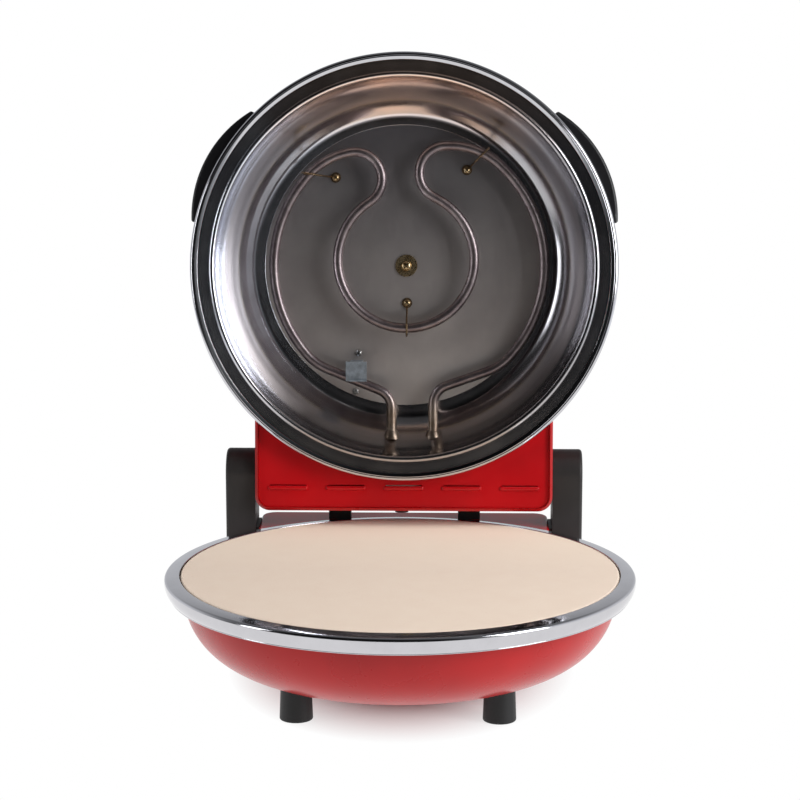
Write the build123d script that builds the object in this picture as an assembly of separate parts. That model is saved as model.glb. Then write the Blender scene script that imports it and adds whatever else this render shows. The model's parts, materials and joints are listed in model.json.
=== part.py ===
from build123d import *
import math
import os

# Countertop pizza oven: a round clamshell with a stone in the base and a domed lid on a rear hinge.
# While it is being built, the origin is the centre of the stone's top face, +X is right, +Y is to
# the rear, and the lid is shut. place() then opens the lid and stands the oven on z = 0.
# All sizes are millimetres and degrees.

# Placing
RIM_HEIGHT = 91.5       # stone's top face above the table
FRAME_Y = 34.55         # from the base's axis back to the middle of the whole depth
HINGE_Y = 167.9         # hinge axis behind the base's axis
HINGE_Z = 38.1          # hinge axis above the stone's top face
OPEN_DEG = 96.0         # lid swing from shut to its stop

# Base
STONE_R = 164.5
STONE_T = 12.0
RING_IN_R = 165.2       # chrome ring, inner lip
RING_R = 176.7          # chrome ring, widest place
RING_CREST = (174.9, -1.1)      # where the ring's top turns over into its skirt
RING_SKIRT = 14.0       # skirt depth below the rim
BOWL_R = 162.4          # painted bowl under the ring
BOWL_FLAT_R = 101.0     # flat bottom of the bowl
BOWL_TOP = -14.0
BOWL_BOTTOM = -69.2
SHEET = 0.8             # bright inner pressings
SKIN = 1.2              # painted outer pressings
FLANGE_R = 168.0        # clamped flange under the ring
SEAT_IN_R = 154.0       # inner edge of the stone's seat
TRAY_FLOOR = -34.0
TRAY_WALL_FOOT = (150.5, -29.5)
TRAY_FLOOR_R = 145.5
PAD_R = 112.0           # insulation pads above and below the cavity
LEDGE_TOP = -3.0        # rear housing of the base, top face
LEDGE_X = 118.0
LEDGE_Y = 200.0
LEDGE_BOTTOM = -54.0
LEDGE_CORNER = 12.0
LEDGE_FRONT = 95.0      # housing parts begin here, inside the bowl's outline, and are cut back to it
WALL = 2.5              # moulded and folded housings

# Feet and screws
FOOT_R = 12.3
FRONT_FOOT = (74.0, -76.0)
REAR_FOOT = (92.0, 172.0)
FOOT_HOLE_R = 2.1
M3_HOLE_R = 1.6

# Hinge
ARM_IN_X = 120.5
ARM_OUT_X = 144.5
ARM_R = 19.5
ARM_BOTTOM = -50.0
PIN_R = 4.0
PIN_GAP = 0.05          # running clearance of the pins and spindles
HUB_R = 18.0
ARM_SCREW_AT = [(HINGE_Y, -18.0), (HINGE_Y, -40.0)]

# Lid
LID_RIM_Z = 2.0         # lid's rim plane above the stone when shut
BAND_R = 171.0
BAND_IN_R = 164.8
BAND_TOP = 11.0
DOME_R = 169.6
DOME_HEM = 5.2          # bottom of the dome, inside the rim band
DOME_FLAT_R = 55.0
DOME_TOP = 86.0
BEAD_R = 153.2
MOUTH_R = 151.0         # reflector wall at the mouth
REFLECTOR_C = (100.0, 2.9)
REFLECTOR_RISE = 61.0
CREASE_R = 125.5
CREASE_IN_R = 119.4     # inner end of the crease's rounding
CEILING_R = 114.5
CEILING_Z = 57.6
BOX_X = 120.0           # lid's rear housing
BOX_FRONT = 60.0        # housing parts begin here, inside the dome, and are cut back to it
BOX_Y = 196.5
BOX_BOTTOM = 11.5
BOX_TOP = 66.0
COVER_Z = 14.2          # louvred cover, set back from the housing's edge
COVER_CORNER = 9.4
LOUVRE_X = [-93.5, -46.7, 0.0, 46.7, 93.5]
LOUVRE_Y = 178.0
LOUVRE_LONG = 32.0
GRIP_SPAN = (-168.0, -134.4)    # side grip, angles of its two ends
GRIP_Z = (10.5, 35.0)
GRIP_SCREW_DEG = (-160.0, -142.0)
GRIP_SCREW_Z = 22.0
GLAND_X = -2.0
STOP_X = 53.0
STOP_WIDE = 18.0
STOP_Z = (HINGE_Z + 10.0, HINGE_Z + 25.0)

# Elements
TUBE_R = 4.0
LEG_HOLE_R = TUBE_R + 0.3
BEND_R = 16.0           # bend between a loop and its leg
UPPER_Z = 43.6
MAIN_C, MAIN_R = (3.5, 0.0), 110.0
INNER_C, INNER_R = (1.0, -5.0), 55.5
LOOP_C = ((-40.5, -70.5), (33.5, -75.5))    # left and right, as are the next three
LEG_X = (-10.5, 23.4)
HAUNCH_DEG = (139.0, 42.0)
BEND_Y = (116.0, 112.5)
LOOP_R, SHOULDER_R, HAUNCH_R = 21.9, 60.0, 45.0
LEG_END_Y = 152.0
LOWER_Z = -22.0
LOWER_LOOP_R = 100.0
LOWER_LEG_X = 18.0
LOWER_LEG_END = 190.0
LOWER_CLIP_R = 84.0
LOWER_CLIP_DEG = (-90.0, 30.0, 150.0)

# Fittings on the ceiling plate
CENTRE_AT = (1.0, 0.0)
CLIP_SCREW_AT = [(-56.8, -71.7), (50.2, -78.0), (1.6, 30.5)]
CLIP_HOOK_AT = [(-77.3, -74.6), (63.3, -91.2), (1.6, 50.5)]
SENSOR_SCREW_AT = [(-38.0, 71.6), (-40.5, 103.4)]
TAB_AT = (-39.3, 85.6)
TAB_WIDE, TAB_LONG = 17.0, 16.0
TAB_Z = 37.6

# Controls
KNOB_X, KNOB_Y = 39.0, 87.0
KNOB_R = 19.0
SPINDLE_R = 3.0
NECK_R = 5.5            # threaded neck of the thermostat and the timer
LAMP_X, LAMP_Y = 9.0, 128.0
PANEL_X = 74.0
PANEL_Y = (56.0, 146.0)
PANEL_TOP = 91.0
PANEL_CORNER = 22.0


# ---------------------------------------------------------------- helpers
def turned(*edges):
    """Solid of revolution about Z from an outline drawn as (radius, height)."""
    return revolve(Plane.XZ * make_face(edges), Axis.Z)


def chain(*points):
    """Straight edges through the points, open."""
    return [Line(a, b) for a, b in zip(points, points[1:])]


def ellipse(centre, across, up, start, end):
    """Part of an upright ellipse, angles in degrees."""
    return EllipticalCenterArc(centre, across, up, start, arc_size=end - start)


def block(low, high):
    """Box between two corners."""
    size = [b - a for a, b in zip(low, high)]
    middle = [(a + b) / 2 for a, b in zip(low, high)]
    return Pos(*middle) * Box(*size)


def drum(x, y, z0, z1, radius):
    """Upright cylinder between two heights."""
    return Pos(x, y, (z0 + z1) / 2) * Cylinder(radius, z1 - z0)


def axle(x0, x1, y, z, radius):
    """Cylinder along X between two places."""
    return Pos((x0 + x1) / 2, y, z) * Rot(0, 90, 0) * Cylinder(radius, abs(x1 - x0))


def plate(low, high, z0, z1, corner, front_too=False):
    """Flat plate with its upright corners rounded: the rear two, or all four."""
    solid = block((*low, z0), (*high, z1))
    edges = [e for e in solid.edges().filter_by(Axis.Z) if front_too or e.center().Y > high[1] - 1]
    return fillet(edges, corner)


def screw(x, y, z_head, z_tip, head_r, head_h, shank_r):
    """Round-headed screw; the head is on the z_head side of the shank."""
    up = 1 if z_tip > z_head else -1
    seat = z_head + up * head_h
    head = drum(x, y, min(z_head, seat), max(z_head, seat), head_r)
    rim = head.edges().filter_by(GeomType.CIRCLE).sort_by(Axis.Z)
    head = fillet(rim[0] if up > 0 else rim[-1], head_h * 0.6)
    slot = Pos(x, y, z_head) * Box(head_r * 1.3, 0.8, 1.6)
    return head - slot + drum(x, y, min(seat, z_tip), max(seat, z_tip), shank_r)


def toward(a, b, reach):
    """Point at a distance from a, in the direction of b."""
    share = reach / math.dist(a, b)
    return a[0] + (b[0] - a[0]) * share, a[1] + (b[1] - a[1]) * share


def polar(centre, radius, degrees):
    """Point on a circle."""
    t = math.radians(degrees)
    return centre[0] + radius * math.cos(t), centre[1] + radius * math.sin(t)


def heading(a, b):
    """Direction from a to b in degrees."""
    return math.degrees(math.atan2(b[1] - a[1], b[0] - a[0]))


def circle_meet(c1, r1, c2, r2, side):
    """Point r1 from c1 and r2 from c2; side is +1 or -1, to the left or right of c1 to c2."""
    d = math.dist(c1, c2)
    turn = math.degrees(math.acos((r1 * r1 + d * d - r2 * r2) / (2 * r1 * d)))
    return polar(c1, r1, heading(c1, c2) + side * turn)


def crossover(c1, r1, c2, r2, side):
    """Ends of the straight that leaves circle 1 and reaches circle 2 on its other side."""
    turn = math.degrees(math.acos((r1 + r2) / math.dist(c1, c2)))
    angle = heading(c1, c2) + side * turn
    return polar(c1, r1, angle), polar(c2, r2, angle + 180)


def bow(centre, radius, start, end, clockwise):
    """Arc about a centre between two points on it."""
    a0, a1 = heading(centre, start), heading(centre, end)
    sweep = (a0 - a1) % 360 if clockwise else (a1 - a0) % 360
    middle = polar(centre, radius, a0 - sweep / 2 if clockwise else a0 + sweep / 2)
    return ThreePointArc(start, middle, end)


def tube(edges, z, radius):
    """Round bar along a flat path at one height."""
    path = Pos(0, 0, z) * Wire(edges)
    return sweep(Plane(path @ 0, z_dir=path % 0) * Circle(radius), path=path)


# ---------------------------------------------------------------- cutting blanks
def bowl_blank(gap):
    """Everything inside the painted bowl, grown by a gap, up to the rim."""
    across = BOWL_R - BOWL_FLAT_R + gap
    deep = BOWL_TOP - BOWL_BOTTOM + gap
    arc = ellipse((BOWL_FLAT_R, BOWL_TOP), across, deep, -90, 0)
    sides = chain((BOWL_R + gap, BOWL_TOP), (BOWL_R + gap, 0), (0, 0))
    sides += chain((0, 0), (0, BOWL_BOTTOM - gap), (BOWL_FLAT_R, BOWL_BOTTOM - gap))
    return turned(arc, *sides)


def dome_blank(gap):
    """Everything inside the lid's dome, grown by a gap, above the rim band's top."""
    across = DOME_R - DOME_FLAT_R + gap
    tall = DOME_TOP - BAND_TOP + gap
    arc = ellipse((DOME_FLAT_R, BAND_TOP), across, tall, 0, 90)
    sides = chain((DOME_FLAT_R, DOME_TOP + gap), (0, DOME_TOP + gap), (0, 0))
    sides += chain((0, 0), (DOME_R + gap, 0), (DOME_R + gap, BAND_TOP))
    return turned(arc, *sides)


def box_blank(inset):
    """Lid's rear housing as a solid block, shrunk by an inset: three outlines that cross."""
    x, y, top = BOX_X - inset, BOX_Y - inset, BOX_TOP - inset
    plan = plate((-x, BOX_FRONT), (x, y), BOX_BOTTOM - 2, top, 12 - inset)
    whole = block((-x, BOX_FRONT, 0), (x, y, top))
    rear_top = whole.edges().filter_by(Axis.X).sort_by(lambda e: e.center().Y + e.center().Z)[-1]
    shoulders = [e for e in whole.edges().filter_by(Axis.Y) if e.center().Z > top - 1]
    return plan & fillet(rear_top, 16 - inset) & fillet(shoulders, 8 - inset)


# ---------------------------------------------------------------- base
def pizza_stone():
    stone = drum(0, 0, -STONE_T, 0, STONE_R)
    return chamfer(stone.edges().filter_by(GeomType.CIRCLE).sort_by(Axis.Z)[-1], 1.0)


def base_rim_ring():
    """Turned ring: a nearly flat top, a tight crest, and a skirt that leans in to a hem."""
    shoulder, hem = (RING_R, -3.1), (173.2, 0.8 - RING_SKIRT)
    outer = [Line((RING_IN_R, 0), RING_CREST)]
    outer.append(TangentArc(RING_CREST, shoulder, tangent=(RING_CREST[0] - RING_IN_R, RING_CREST[1])))
    outer.append(ThreePointArc(shoulder, (175.9, -8.9), hem))
    outer.append(ThreePointArc(hem, (172.9, -RING_SKIRT), (172.2, 0.4 - RING_SKIRT)))
    inner = [ThreePointArc((172.2, 0.4 - RING_SKIRT), (174.6, -9.3), (175.5, -5.4))]
    inner.append(ThreePointArc((175.5, -5.4), (174.6, -3.2), (172.2, -2.0)))
    lip = chain((172.2, -2.0), (RING_IN_R + 1, -1.3), (RING_IN_R + 1, -STONE_T))
    lip += chain((RING_IN_R + 1, -STONE_T), (RING_IN_R, -STONE_T), (RING_IN_R, 0))
    return turned(*outer, *inner, *lip)


def leg_holes(legs, z, y0, y1):
    """Clearance holes along Y for a pair of element legs."""
    return [Pos(x, (y0 + y1) / 2, z) * Rot(90, 0, 0) * Cylinder(LEG_HOLE_R, y1 - y0) for x in legs]


def lower_leg_holes(y0, y1):
    return leg_holes((-LOWER_LEG_X, LOWER_LEG_X), LOWER_Z, y0, y1)


def lower_clip_places():
    return [polar((0, 0), LOWER_CLIP_R, a) for a in LOWER_CLIP_DEG]


def base_tray():
    t = SHEET
    top = chain((FLANGE_R, -STONE_T - t), (FLANGE_R, -STONE_T), (SEAT_IN_R, -STONE_T))
    wall = chain((SEAT_IN_R, -STONE_T), TRAY_WALL_FOOT)
    slope = (TRAY_WALL_FOOT[0] - SEAT_IN_R, TRAY_WALL_FOOT[1] + STONE_T)
    corner = [TangentArc(TRAY_WALL_FOOT, (TRAY_FLOOR_R, TRAY_FLOOR), tangent=slope)]
    floor = chain((TRAY_FLOOR_R, TRAY_FLOOR), (0, TRAY_FLOOR), (0, TRAY_FLOOR - t))
    floor += chain((0, TRAY_FLOOR - t), (TRAY_FLOOR_R, TRAY_FLOOR - t))
    wall_back = (TRAY_WALL_FOOT[0] + t, TRAY_WALL_FOOT[1] - 0.1)
    back = [TangentArc((TRAY_FLOOR_R, TRAY_FLOOR - t), wall_back, tangent=(1, 0))]
    under = chain(wall_back, (SEAT_IN_R + 0.9, -STONE_T - t), (FLANGE_R, -STONE_T - t))
    tray = turned(*top, *wall, *corner, *floor, *back, *under)
    tray -= lower_leg_holes(120, 160)
    for x, y in lower_clip_places():
        tray -= drum(x, y, TRAY_FLOOR - 3, TRAY_FLOOR + 3, M3_HOLE_R)
    return tray


def base_bowl():
    across, deep = BOWL_R - BOWL_FLAT_R, BOWL_TOP - BOWL_BOTTOM
    outside = ellipse((BOWL_FLAT_R, BOWL_TOP), across, deep, -90, 0)
    inside = ellipse((BOWL_FLAT_R, BOWL_TOP), across - SKIN, deep - SKIN, -90, 0)
    top = BOWL_TOP + SKIN
    flange = chain((BOWL_R, BOWL_TOP), (FLANGE_R, BOWL_TOP), (FLANGE_R, top), (BOWL_R - SKIN, top))
    flange += chain((BOWL_R - SKIN, top), (BOWL_R - SKIN, BOWL_TOP))
    floor = chain((BOWL_FLAT_R, BOWL_BOTTOM + SKIN), (0, BOWL_BOTTOM + SKIN))
    floor += chain((0, BOWL_BOTTOM + SKIN), (0, BOWL_BOTTOM), (BOWL_FLAT_R, BOWL_BOTTOM))
    bowl = turned(outside, *flange, inside, *floor)
    for k in range(12):
        slot = Pos(0, 0, BOWL_BOTTOM) * SlotOverall(26, 4)
        bowl -= Rot(0, 0, 30 * k + 15) * Pos(52, 0, -5) * extrude(slot, 10)
    bowl -= lower_leg_holes(150, 175)
    for side in (-1, 1):
        bowl -= drum(side * FRONT_FOOT[0], FRONT_FOOT[1], BOWL_BOTTOM - 5, BOWL_BOTTOM + 9, FOOT_HOLE_R)
    return bowl


def base_rear_housing():
    x, y = LEDGE_X, LEDGE_Y
    solid = plate((-x, LEDGE_FRONT), (x, y), LEDGE_BOTTOM, LEDGE_TOP, LEDGE_CORNER)
    top = solid.faces().sort_by(Axis.Z)[-1]
    solid = fillet([e for e in top.edges() if e.center().Y > LEDGE_FRONT + 1], 2.4)
    low, high = (-x + WALL, LEDGE_FRONT), (x - WALL, y - WALL)
    hollow = plate(low, high, LEDGE_BOTTOM - 1, LEDGE_TOP - WALL, LEDGE_CORNER - WALL)
    hollow -= bowl_blank(2.8)
    hollow -= drum(0, 0, -17, 1, RING_R + 3.6)
    shell = solid - hollow - bowl_blank(0.3) - drum(0, 0, BOWL_TOP - 0.3, 1, FLANGE_R + 0.3)
    shell -= drum(0, 0, -RING_SKIRT - 0.4, 1, RING_R + 1.0)
    shell -= lower_leg_holes(150, 185)
    for side in (-1, 1):
        for screw_y, screw_z in ARM_SCREW_AT:
            shell -= axle(side * (x - 5), side * (x + 1), screw_y, screw_z, FOOT_HOLE_R)
    for k in range(-6, 7):
        shell -= block((k * 12 - 1.5, y - 5, -42), (k * 12 + 1.5, y + 1, -18))
    return max(shell.solids(), key=lambda s: s.volume)


def base_rear_cover():
    x, y, z = LEDGE_X - WALL - 0.3, LEDGE_Y - WALL - 0.3, LEDGE_BOTTOM
    cover = plate((-x, LEDGE_FRONT), (x, y), z, z + 1.8, LEDGE_CORNER - WALL)
    cover -= drum(0, 0, z - 1, z + 3, 150.5)
    for side in (-1, 1):
        cover -= drum(side * REAR_FOOT[0], REAR_FOOT[1], z - 1, z + 3, FOOT_HOLE_R)
    return max(cover.solids(), key=lambda s: s.volume)


def base_insulation():
    under_tray = TRAY_FLOOR - SHEET
    pad = drum(0, 0, under_tray - 14, under_tray - 3.2, PAD_R)
    return pad - drum(0, 0, under_tray - 15, under_tray, 18)


def lower_element():
    bend_x = LOWER_LEG_X + BEND_R
    bend_y = math.sqrt((LOWER_LOOP_R + BEND_R) ** 2 - bend_x**2)
    edges = []
    for side in (-1, 1):
        leg = (side * LOWER_LEG_X, LOWER_LEG_END)
        foot = (side * LOWER_LEG_X, bend_y)
        bend = (side * bend_x, bend_y)
        join = toward((0, 0), bend, LOWER_LOOP_R)
        edges.append(Line(leg, foot))
        edges.append(bow(bend, BEND_R, foot, join, clockwise=side < 0))
    left = toward((0, 0), (-bend_x, bend_y), LOWER_LOOP_R)
    right = toward((0, 0), (bend_x, bend_y), LOWER_LOOP_R)
    edges.append(bow((0, 0), LOWER_LOOP_R, left, right, clockwise=False))
    return tube(edges, LOWER_Z, TUBE_R)


def lower_element_clips():
    """Folded brackets that hold the loop up from the tray."""
    clips = []
    for x, y in lower_clip_places():
        base = block((-6, -5, TRAY_FLOOR), (6, 5, TRAY_FLOOR + 1))
        riser = block((5, -5, TRAY_FLOOR), (6, 5, LOWER_Z - TUBE_R - 0.2))
        rest = block((5, -5, LOWER_Z - TUBE_R - 1.2), (21, 5, LOWER_Z - TUBE_R - 0.2))
        stop = block((20.2, -5, LOWER_Z - TUBE_R - 1.2), (21.2, 5, LOWER_Z + 1))
        clip = base + riser + rest + stop - drum(-1, 0, TRAY_FLOOR - 1, TRAY_FLOOR + 2, M3_HOLE_R)
        clips.append(Pos(x, y, 0) * Rot(0, 0, heading((0, 0), (x, y))) * Pos(1, 0, 0) * clip)
    return clips


def lower_clip_screws():
    z = TRAY_FLOOR + 1
    return [screw(x, y, z + 2, TRAY_FLOOR - 2.5, 2.8, 2, 1.5) for x, y in lower_clip_places()]


def leg_collars(legs, y, z):
    """Ceramic collars on a pair of element legs."""
    spots = [Pos(x, y, z) * Rot(90, 0, 0) for x in legs]
    return [spot * Cylinder(7, 6) - spot * Cylinder(TUBE_R, 7) for spot in spots]


def lower_terminals():
    return leg_collars((-LOWER_LEG_X, LOWER_LEG_X), LOWER_LEG_END - 4, LOWER_Z)


def foot_pads():
    pads = []
    for side in (-1, 1):
        for (x, y), top in ((FRONT_FOOT, -60.0), (REAR_FOOT, LEDGE_BOTTOM)):
            height = RIM_HEIGHT + top
            pad = Pos(side * x, y, -RIM_HEIGHT + height / 2) * Cone(FOOT_R, FOOT_R - 1.2, height)
            pad = pad - drum(side * x, y, -RIM_HEIGHT - 1, -RIM_HEIGHT + 6, 5)
            pad = pad - drum(side * x, y, -RIM_HEIGHT, 0, FOOT_HOLE_R)
            foot_ring = pad.edges().filter_by(GeomType.CIRCLE).sort_by(Axis.Z)
            widest = max(foot_ring[:3], key=lambda e: e.radius)
            pads.append(fillet(widest, 1.2) - bowl_blank(0.0))
    return pads


def foot_screws():
    screws = []
    for side in (-1, 1):
        for (x, y), tip in ((FRONT_FOOT, BOWL_BOTTOM + 8), (REAR_FOOT, LEDGE_BOTTOM + 8)):
            screws.append(screw(side * x, y, -RIM_HEIGHT + 3.4, tip, 4.4, 2.6, 2.0))
    return screws


def arm_screws():
    screws = []
    for y, z in ARM_SCREW_AT:
        head = axle(LEDGE_X - WALL - 2.2, LEDGE_X - WALL, y, z, 3.8)
        body = head + axle(LEDGE_X - WALL, LEDGE_X + 12, y, z, 2.0)
        screws += [body, mirror(body, Plane.YZ)]
    return screws


def hinge_arm(side):
    """Post on the side of the rear housing, with a round head about the hinge pin."""
    y0, y1 = HINGE_Y - ARM_R, HINGE_Y + ARM_R
    post = block((ARM_IN_X, y0, ARM_BOTTOM), (ARM_OUT_X, y1, HINGE_Z))
    arm = post + axle(ARM_IN_X, ARM_OUT_X, HINGE_Y, HINGE_Z, ARM_R)
    outer_face = arm.faces().sort_by(Axis.X)[-1]
    arm = fillet(outer_face.edges(), 2.6)
    arm += block((LEDGE_X, y0 + 3, ARM_BOTTOM + 3), (ARM_IN_X, y1 - 3, LEDGE_TOP - 1.5))
    arm -= axle(ARM_IN_X - 1, ARM_OUT_X - 6, HINGE_Y, HINGE_Z, PIN_R)
    for y, z in ARM_SCREW_AT:
        arm -= axle(LEDGE_X - 1, LEDGE_X + 12, y, z, 2.0)
    return arm if side > 0 else mirror(arm, Plane.YZ)


def hinge_pins():
    pin = axle(106, ARM_OUT_X - 6, HINGE_Y, HINGE_Z, PIN_R)
    pin = chamfer(pin.edges().filter_by(GeomType.CIRCLE).sort_by(Axis.X)[0], 0.6)
    return [pin, mirror(pin, Plane.YZ)]


# ---------------------------------------------------------------- lid
def lid_rim_band():
    """Turned band round the lid's edge, with a raised roll that frames the flat flange."""
    r, inside, z = BAND_R, BAND_IN_R, LID_RIM_Z
    lip = DOME_R + 0.1
    roll = [Line((inside, z), (inside + 2.6, z - 1.1))]
    roll.append(ThreePointArc((inside + 2.6, z - 1.1), (r - 0.9, z + 0.2), (r, z + 2.4)))
    side = chain((r, z + 2.4), (r, BAND_TOP), (lip, BAND_TOP), (lip, BAND_TOP - 1))
    back = chain((lip, BAND_TOP - 1), (r - 1, BAND_TOP - 1), (r - 1, z + 2.6), (inside + 2.8, z + 1))
    edge = chain((inside + 2.8, z + 1), (inside, z + 1), (inside, z))
    return turned(*roll, *side, *back, *edge)


def lid_reflector():
    """One pressing: crown, rounded crease, bowed wall, bead at the mouth and flat flange."""
    t = SHEET
    z, top = LID_RIM_Z, CEILING_Z + 1.0
    (cr, cz), rise = REFLECTOR_C, REFLECTOR_RISE
    across = MOUTH_R - cr
    angle = math.degrees(math.acos((CREASE_R - cr) / across))
    wall = ellipse((cr, cz), across, rise, 0, angle)
    back = ellipse((cr, cz), across + t, rise + t, 0, angle)
    crease, crease_back = wall @ 1, back @ 1
    rounding = TangentArc(crease, (CREASE_IN_R, CEILING_Z), tangent=wall % 1)
    step = chain((CREASE_IN_R, CEILING_Z), (CEILING_R, CEILING_Z), (CEILING_R, top), (0, top), (0, top + t))
    step_back = chain((0, top + t), (CEILING_R + t, top + t), (CEILING_R + t, CEILING_Z + t))
    step_back += chain((CEILING_R + t, CEILING_Z + t), (CREASE_IN_R, CEILING_Z + t))
    rounding_back = TangentArc((CREASE_IN_R, CEILING_Z + t), crease_back, tangent=(1, 0))
    bead = [ThreePointArc((MOUTH_R, cz), (BEAD_R, z - 1.1), (BEAD_R + 2.4, z))]
    flange = chain((BEAD_R + 2.4, z), (BAND_IN_R - 0.2, z), (BAND_IN_R - 0.2, z + t), (BEAD_R + 2.2, z + t))
    bead_back = [ThreePointArc((BEAD_R + 2.2, z + t), (BEAD_R, z - 0.3), (MOUTH_R + t, cz))]
    solid = turned(wall, rounding, *step, *step_back, rounding_back, back, *bead, *flange, *bead_back)
    solid -= leg_holes(LEG_X, UPPER_Z, 120, 150)
    for x, y in CLIP_SCREW_AT + SENSOR_SCREW_AT + [CENTRE_AT]:
        solid -= drum(x, y, CEILING_Z, CEILING_Z + 4, M3_HOLE_R)
    return solid


def ceiling_plate():
    disc = drum(0, 0, CEILING_Z, CEILING_Z + 1.0, CEILING_R - 0.1)
    for x, y in CLIP_SCREW_AT + SENSOR_SCREW_AT + [CENTRE_AT]:
        disc -= drum(x, y, CEILING_Z - 1, CEILING_Z + 4, M3_HOLE_R)
    return disc


def centre_washer():
    z = CEILING_Z
    return drum(*CENTRE_AT, z - 1.2, z, 9) - drum(*CENTRE_AT, z - 3, z + 1, M3_HOLE_R)


def centre_screw():
    return screw(*CENTRE_AT, CEILING_Z - 4.2, CEILING_Z + 12, 4.2, 3, M3_HOLE_R)


def centre_nut():
    z = CEILING_Z + 1 + SHEET
    nut = extrude(Pos(*CENTRE_AT, z) * RegularPolygon(4.2, 6), 3)
    return nut - drum(*CENTRE_AT, z - 1, z + 4, M3_HOLE_R)


def clip_screws():
    return [screw(x, y, CEILING_Z - 3.6, CEILING_Z + 6, 3.0, 2.6, M3_HOLE_R) for x, y in CLIP_SCREW_AT]


def element_clips():
    """Wire hooks: an eyelet under each screw, a sloping wire, and a hook under the tube."""
    clips = []
    for (sx, sy), (hx, hy) in zip(CLIP_SCREW_AT, CLIP_HOOK_AT):
        reach = math.dist((sx, sy), (hx, hy))
        eye = drum(0, 0, CEILING_Z - 1, CEILING_Z, 4.2)
        eye -= drum(0, 0, CEILING_Z - 3, CEILING_Z + 1, M3_HOLE_R)
        low = UPPER_Z - TUBE_R - 0.9
        points = [(3.9, CEILING_Z - 0.8), (reach - 9, low + 5), (reach - 3, low), (reach + 4.6, low)]
        points.append((reach + 6.2, low + 3.4))
        path = Plane.XZ * FilletPolyline(*points, radius=1.6)
        wire = sweep(Plane(path @ 0, z_dir=path % 0) * Circle(0.8), path=path)
        clips.append(Pos(sx, sy, 0) * Rot(0, 0, heading((sx, sy), (hx, hy))) * (eye + wire))
    return clips


def upper_side(which):
    """One half of the upper element, from its leg round to the inner arc; which is 0 or 1."""
    side = 2 * which - 1
    loop, leg_x, haunch_deg, bend_y = (pair[which] for pair in (LOOP_C, LEG_X, HAUNCH_DEG, BEND_Y))
    haunch = polar(MAIN_C, MAIN_R - HAUNCH_R, haunch_deg)
    bend = (leg_x + side * BEND_R, bend_y)
    shoulder = circle_meet(MAIN_C, MAIN_R - SHOULDER_R, loop, SHOULDER_R - LOOP_R, side)
    leg = (leg_x, LEG_END_Y)
    foot = (leg_x, bend_y)
    bend_out, haunch_in = crossover(bend, BEND_R, haunch, HAUNCH_R, -side)
    main_in = toward(MAIN_C, haunch, MAIN_R)
    main_out = toward(MAIN_C, shoulder, MAIN_R)
    loop_in = toward(shoulder, loop, SHOULDER_R)
    loop_out, inner_in = crossover(loop, LOOP_R, INNER_C, INNER_R, side)
    path = [Line(leg, foot), bow(bend, BEND_R, foot, bend_out, side < 0)]
    path += [Line(bend_out, haunch_in), bow(haunch, HAUNCH_R, haunch_in, main_in, side > 0)]
    path.append(bow(MAIN_C, MAIN_R, main_in, main_out, side > 0))
    path.append(bow(shoulder, SHOULDER_R, main_out, loop_in, side > 0))
    path.append(bow(loop, LOOP_R, loop_in, loop_out, side > 0))
    path.append(Line(loop_out, inner_in))
    return path, inner_in


def upper_element():
    left, left_end = upper_side(0)
    right, right_end = upper_side(1)
    inner = bow(INNER_C, INNER_R, left_end, right_end, clockwise=True)
    return tube(left + [inner] + right[::-1], UPPER_Z, TUBE_R)


def upper_terminals():
    return leg_collars(LEG_X, LEG_END_Y - 3, UPPER_Z)


def sensor_tab():
    """Folded sheet that holds the thermostat's sensor in front of the element."""
    x, y, z = *TAB_AT, TAB_Z
    x0, x1, y0, y1 = x - TAB_WIDE / 2, x + TAB_WIDE / 2, y - TAB_LONG / 2, y + TAB_LONG / 2
    tab = block((x0, y0, z), (x1, y1, z + 1))
    tab += block((x0 + 3, y1 - 1, z - 2.2), (x1, y1, z + 0.5))
    tab += block((x0, y0, z), (x0 + 1, y - 2, z + 3))
    tab += block((x1 - 1, y0, z), (x1, y - 2, z + 3))
    return tab + block((x - 5, y0, z), (x + 5, y0 + 1, CEILING_Z))


def sensor_screws():
    return [screw(x, y, CEILING_Z - 2.4, CEILING_Z + 5, 2.7, 2.4, M3_HOLE_R) for x, y in SENSOR_SCREW_AT]


def lid_dome():
    across, tall = DOME_R - DOME_FLAT_R, DOME_TOP - BAND_TOP
    outside = ellipse((DOME_FLAT_R, BAND_TOP), across, tall, 0, 90)
    inside = ellipse((DOME_FLAT_R, BAND_TOP), across - SKIN, tall - SKIN, 0, 90)
    hem = chain((DOME_R, BAND_TOP), (DOME_R, DOME_HEM), (DOME_R - SKIN, DOME_HEM), (DOME_R - SKIN, BAND_TOP))
    crown = chain((DOME_FLAT_R, DOME_TOP - SKIN), (0, DOME_TOP - SKIN), (0, DOME_TOP))
    crown += chain((0, DOME_TOP), (DOME_FLAT_R, DOME_TOP))
    dome = turned(outside, *hem, inside, *crown)
    dome -= block((-BOX_X + 8, BOX_FRONT, COVER_Z + 3), (BOX_X - 8, 180, BOX_TOP - 8))
    for side in (-1, 1):
        dome -= drum(side * KNOB_X, KNOB_Y, 60, 100, 7)
        dome -= drum(side * LAMP_X, LAMP_Y, 60, 100, 5)
    for degrees in GRIP_SCREW_DEG:
        hole = spoke(degrees, 158, 176, M3_HOLE_R)
        dome -= hole + mirror(hole, Plane.YZ)
    return dome


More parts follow.
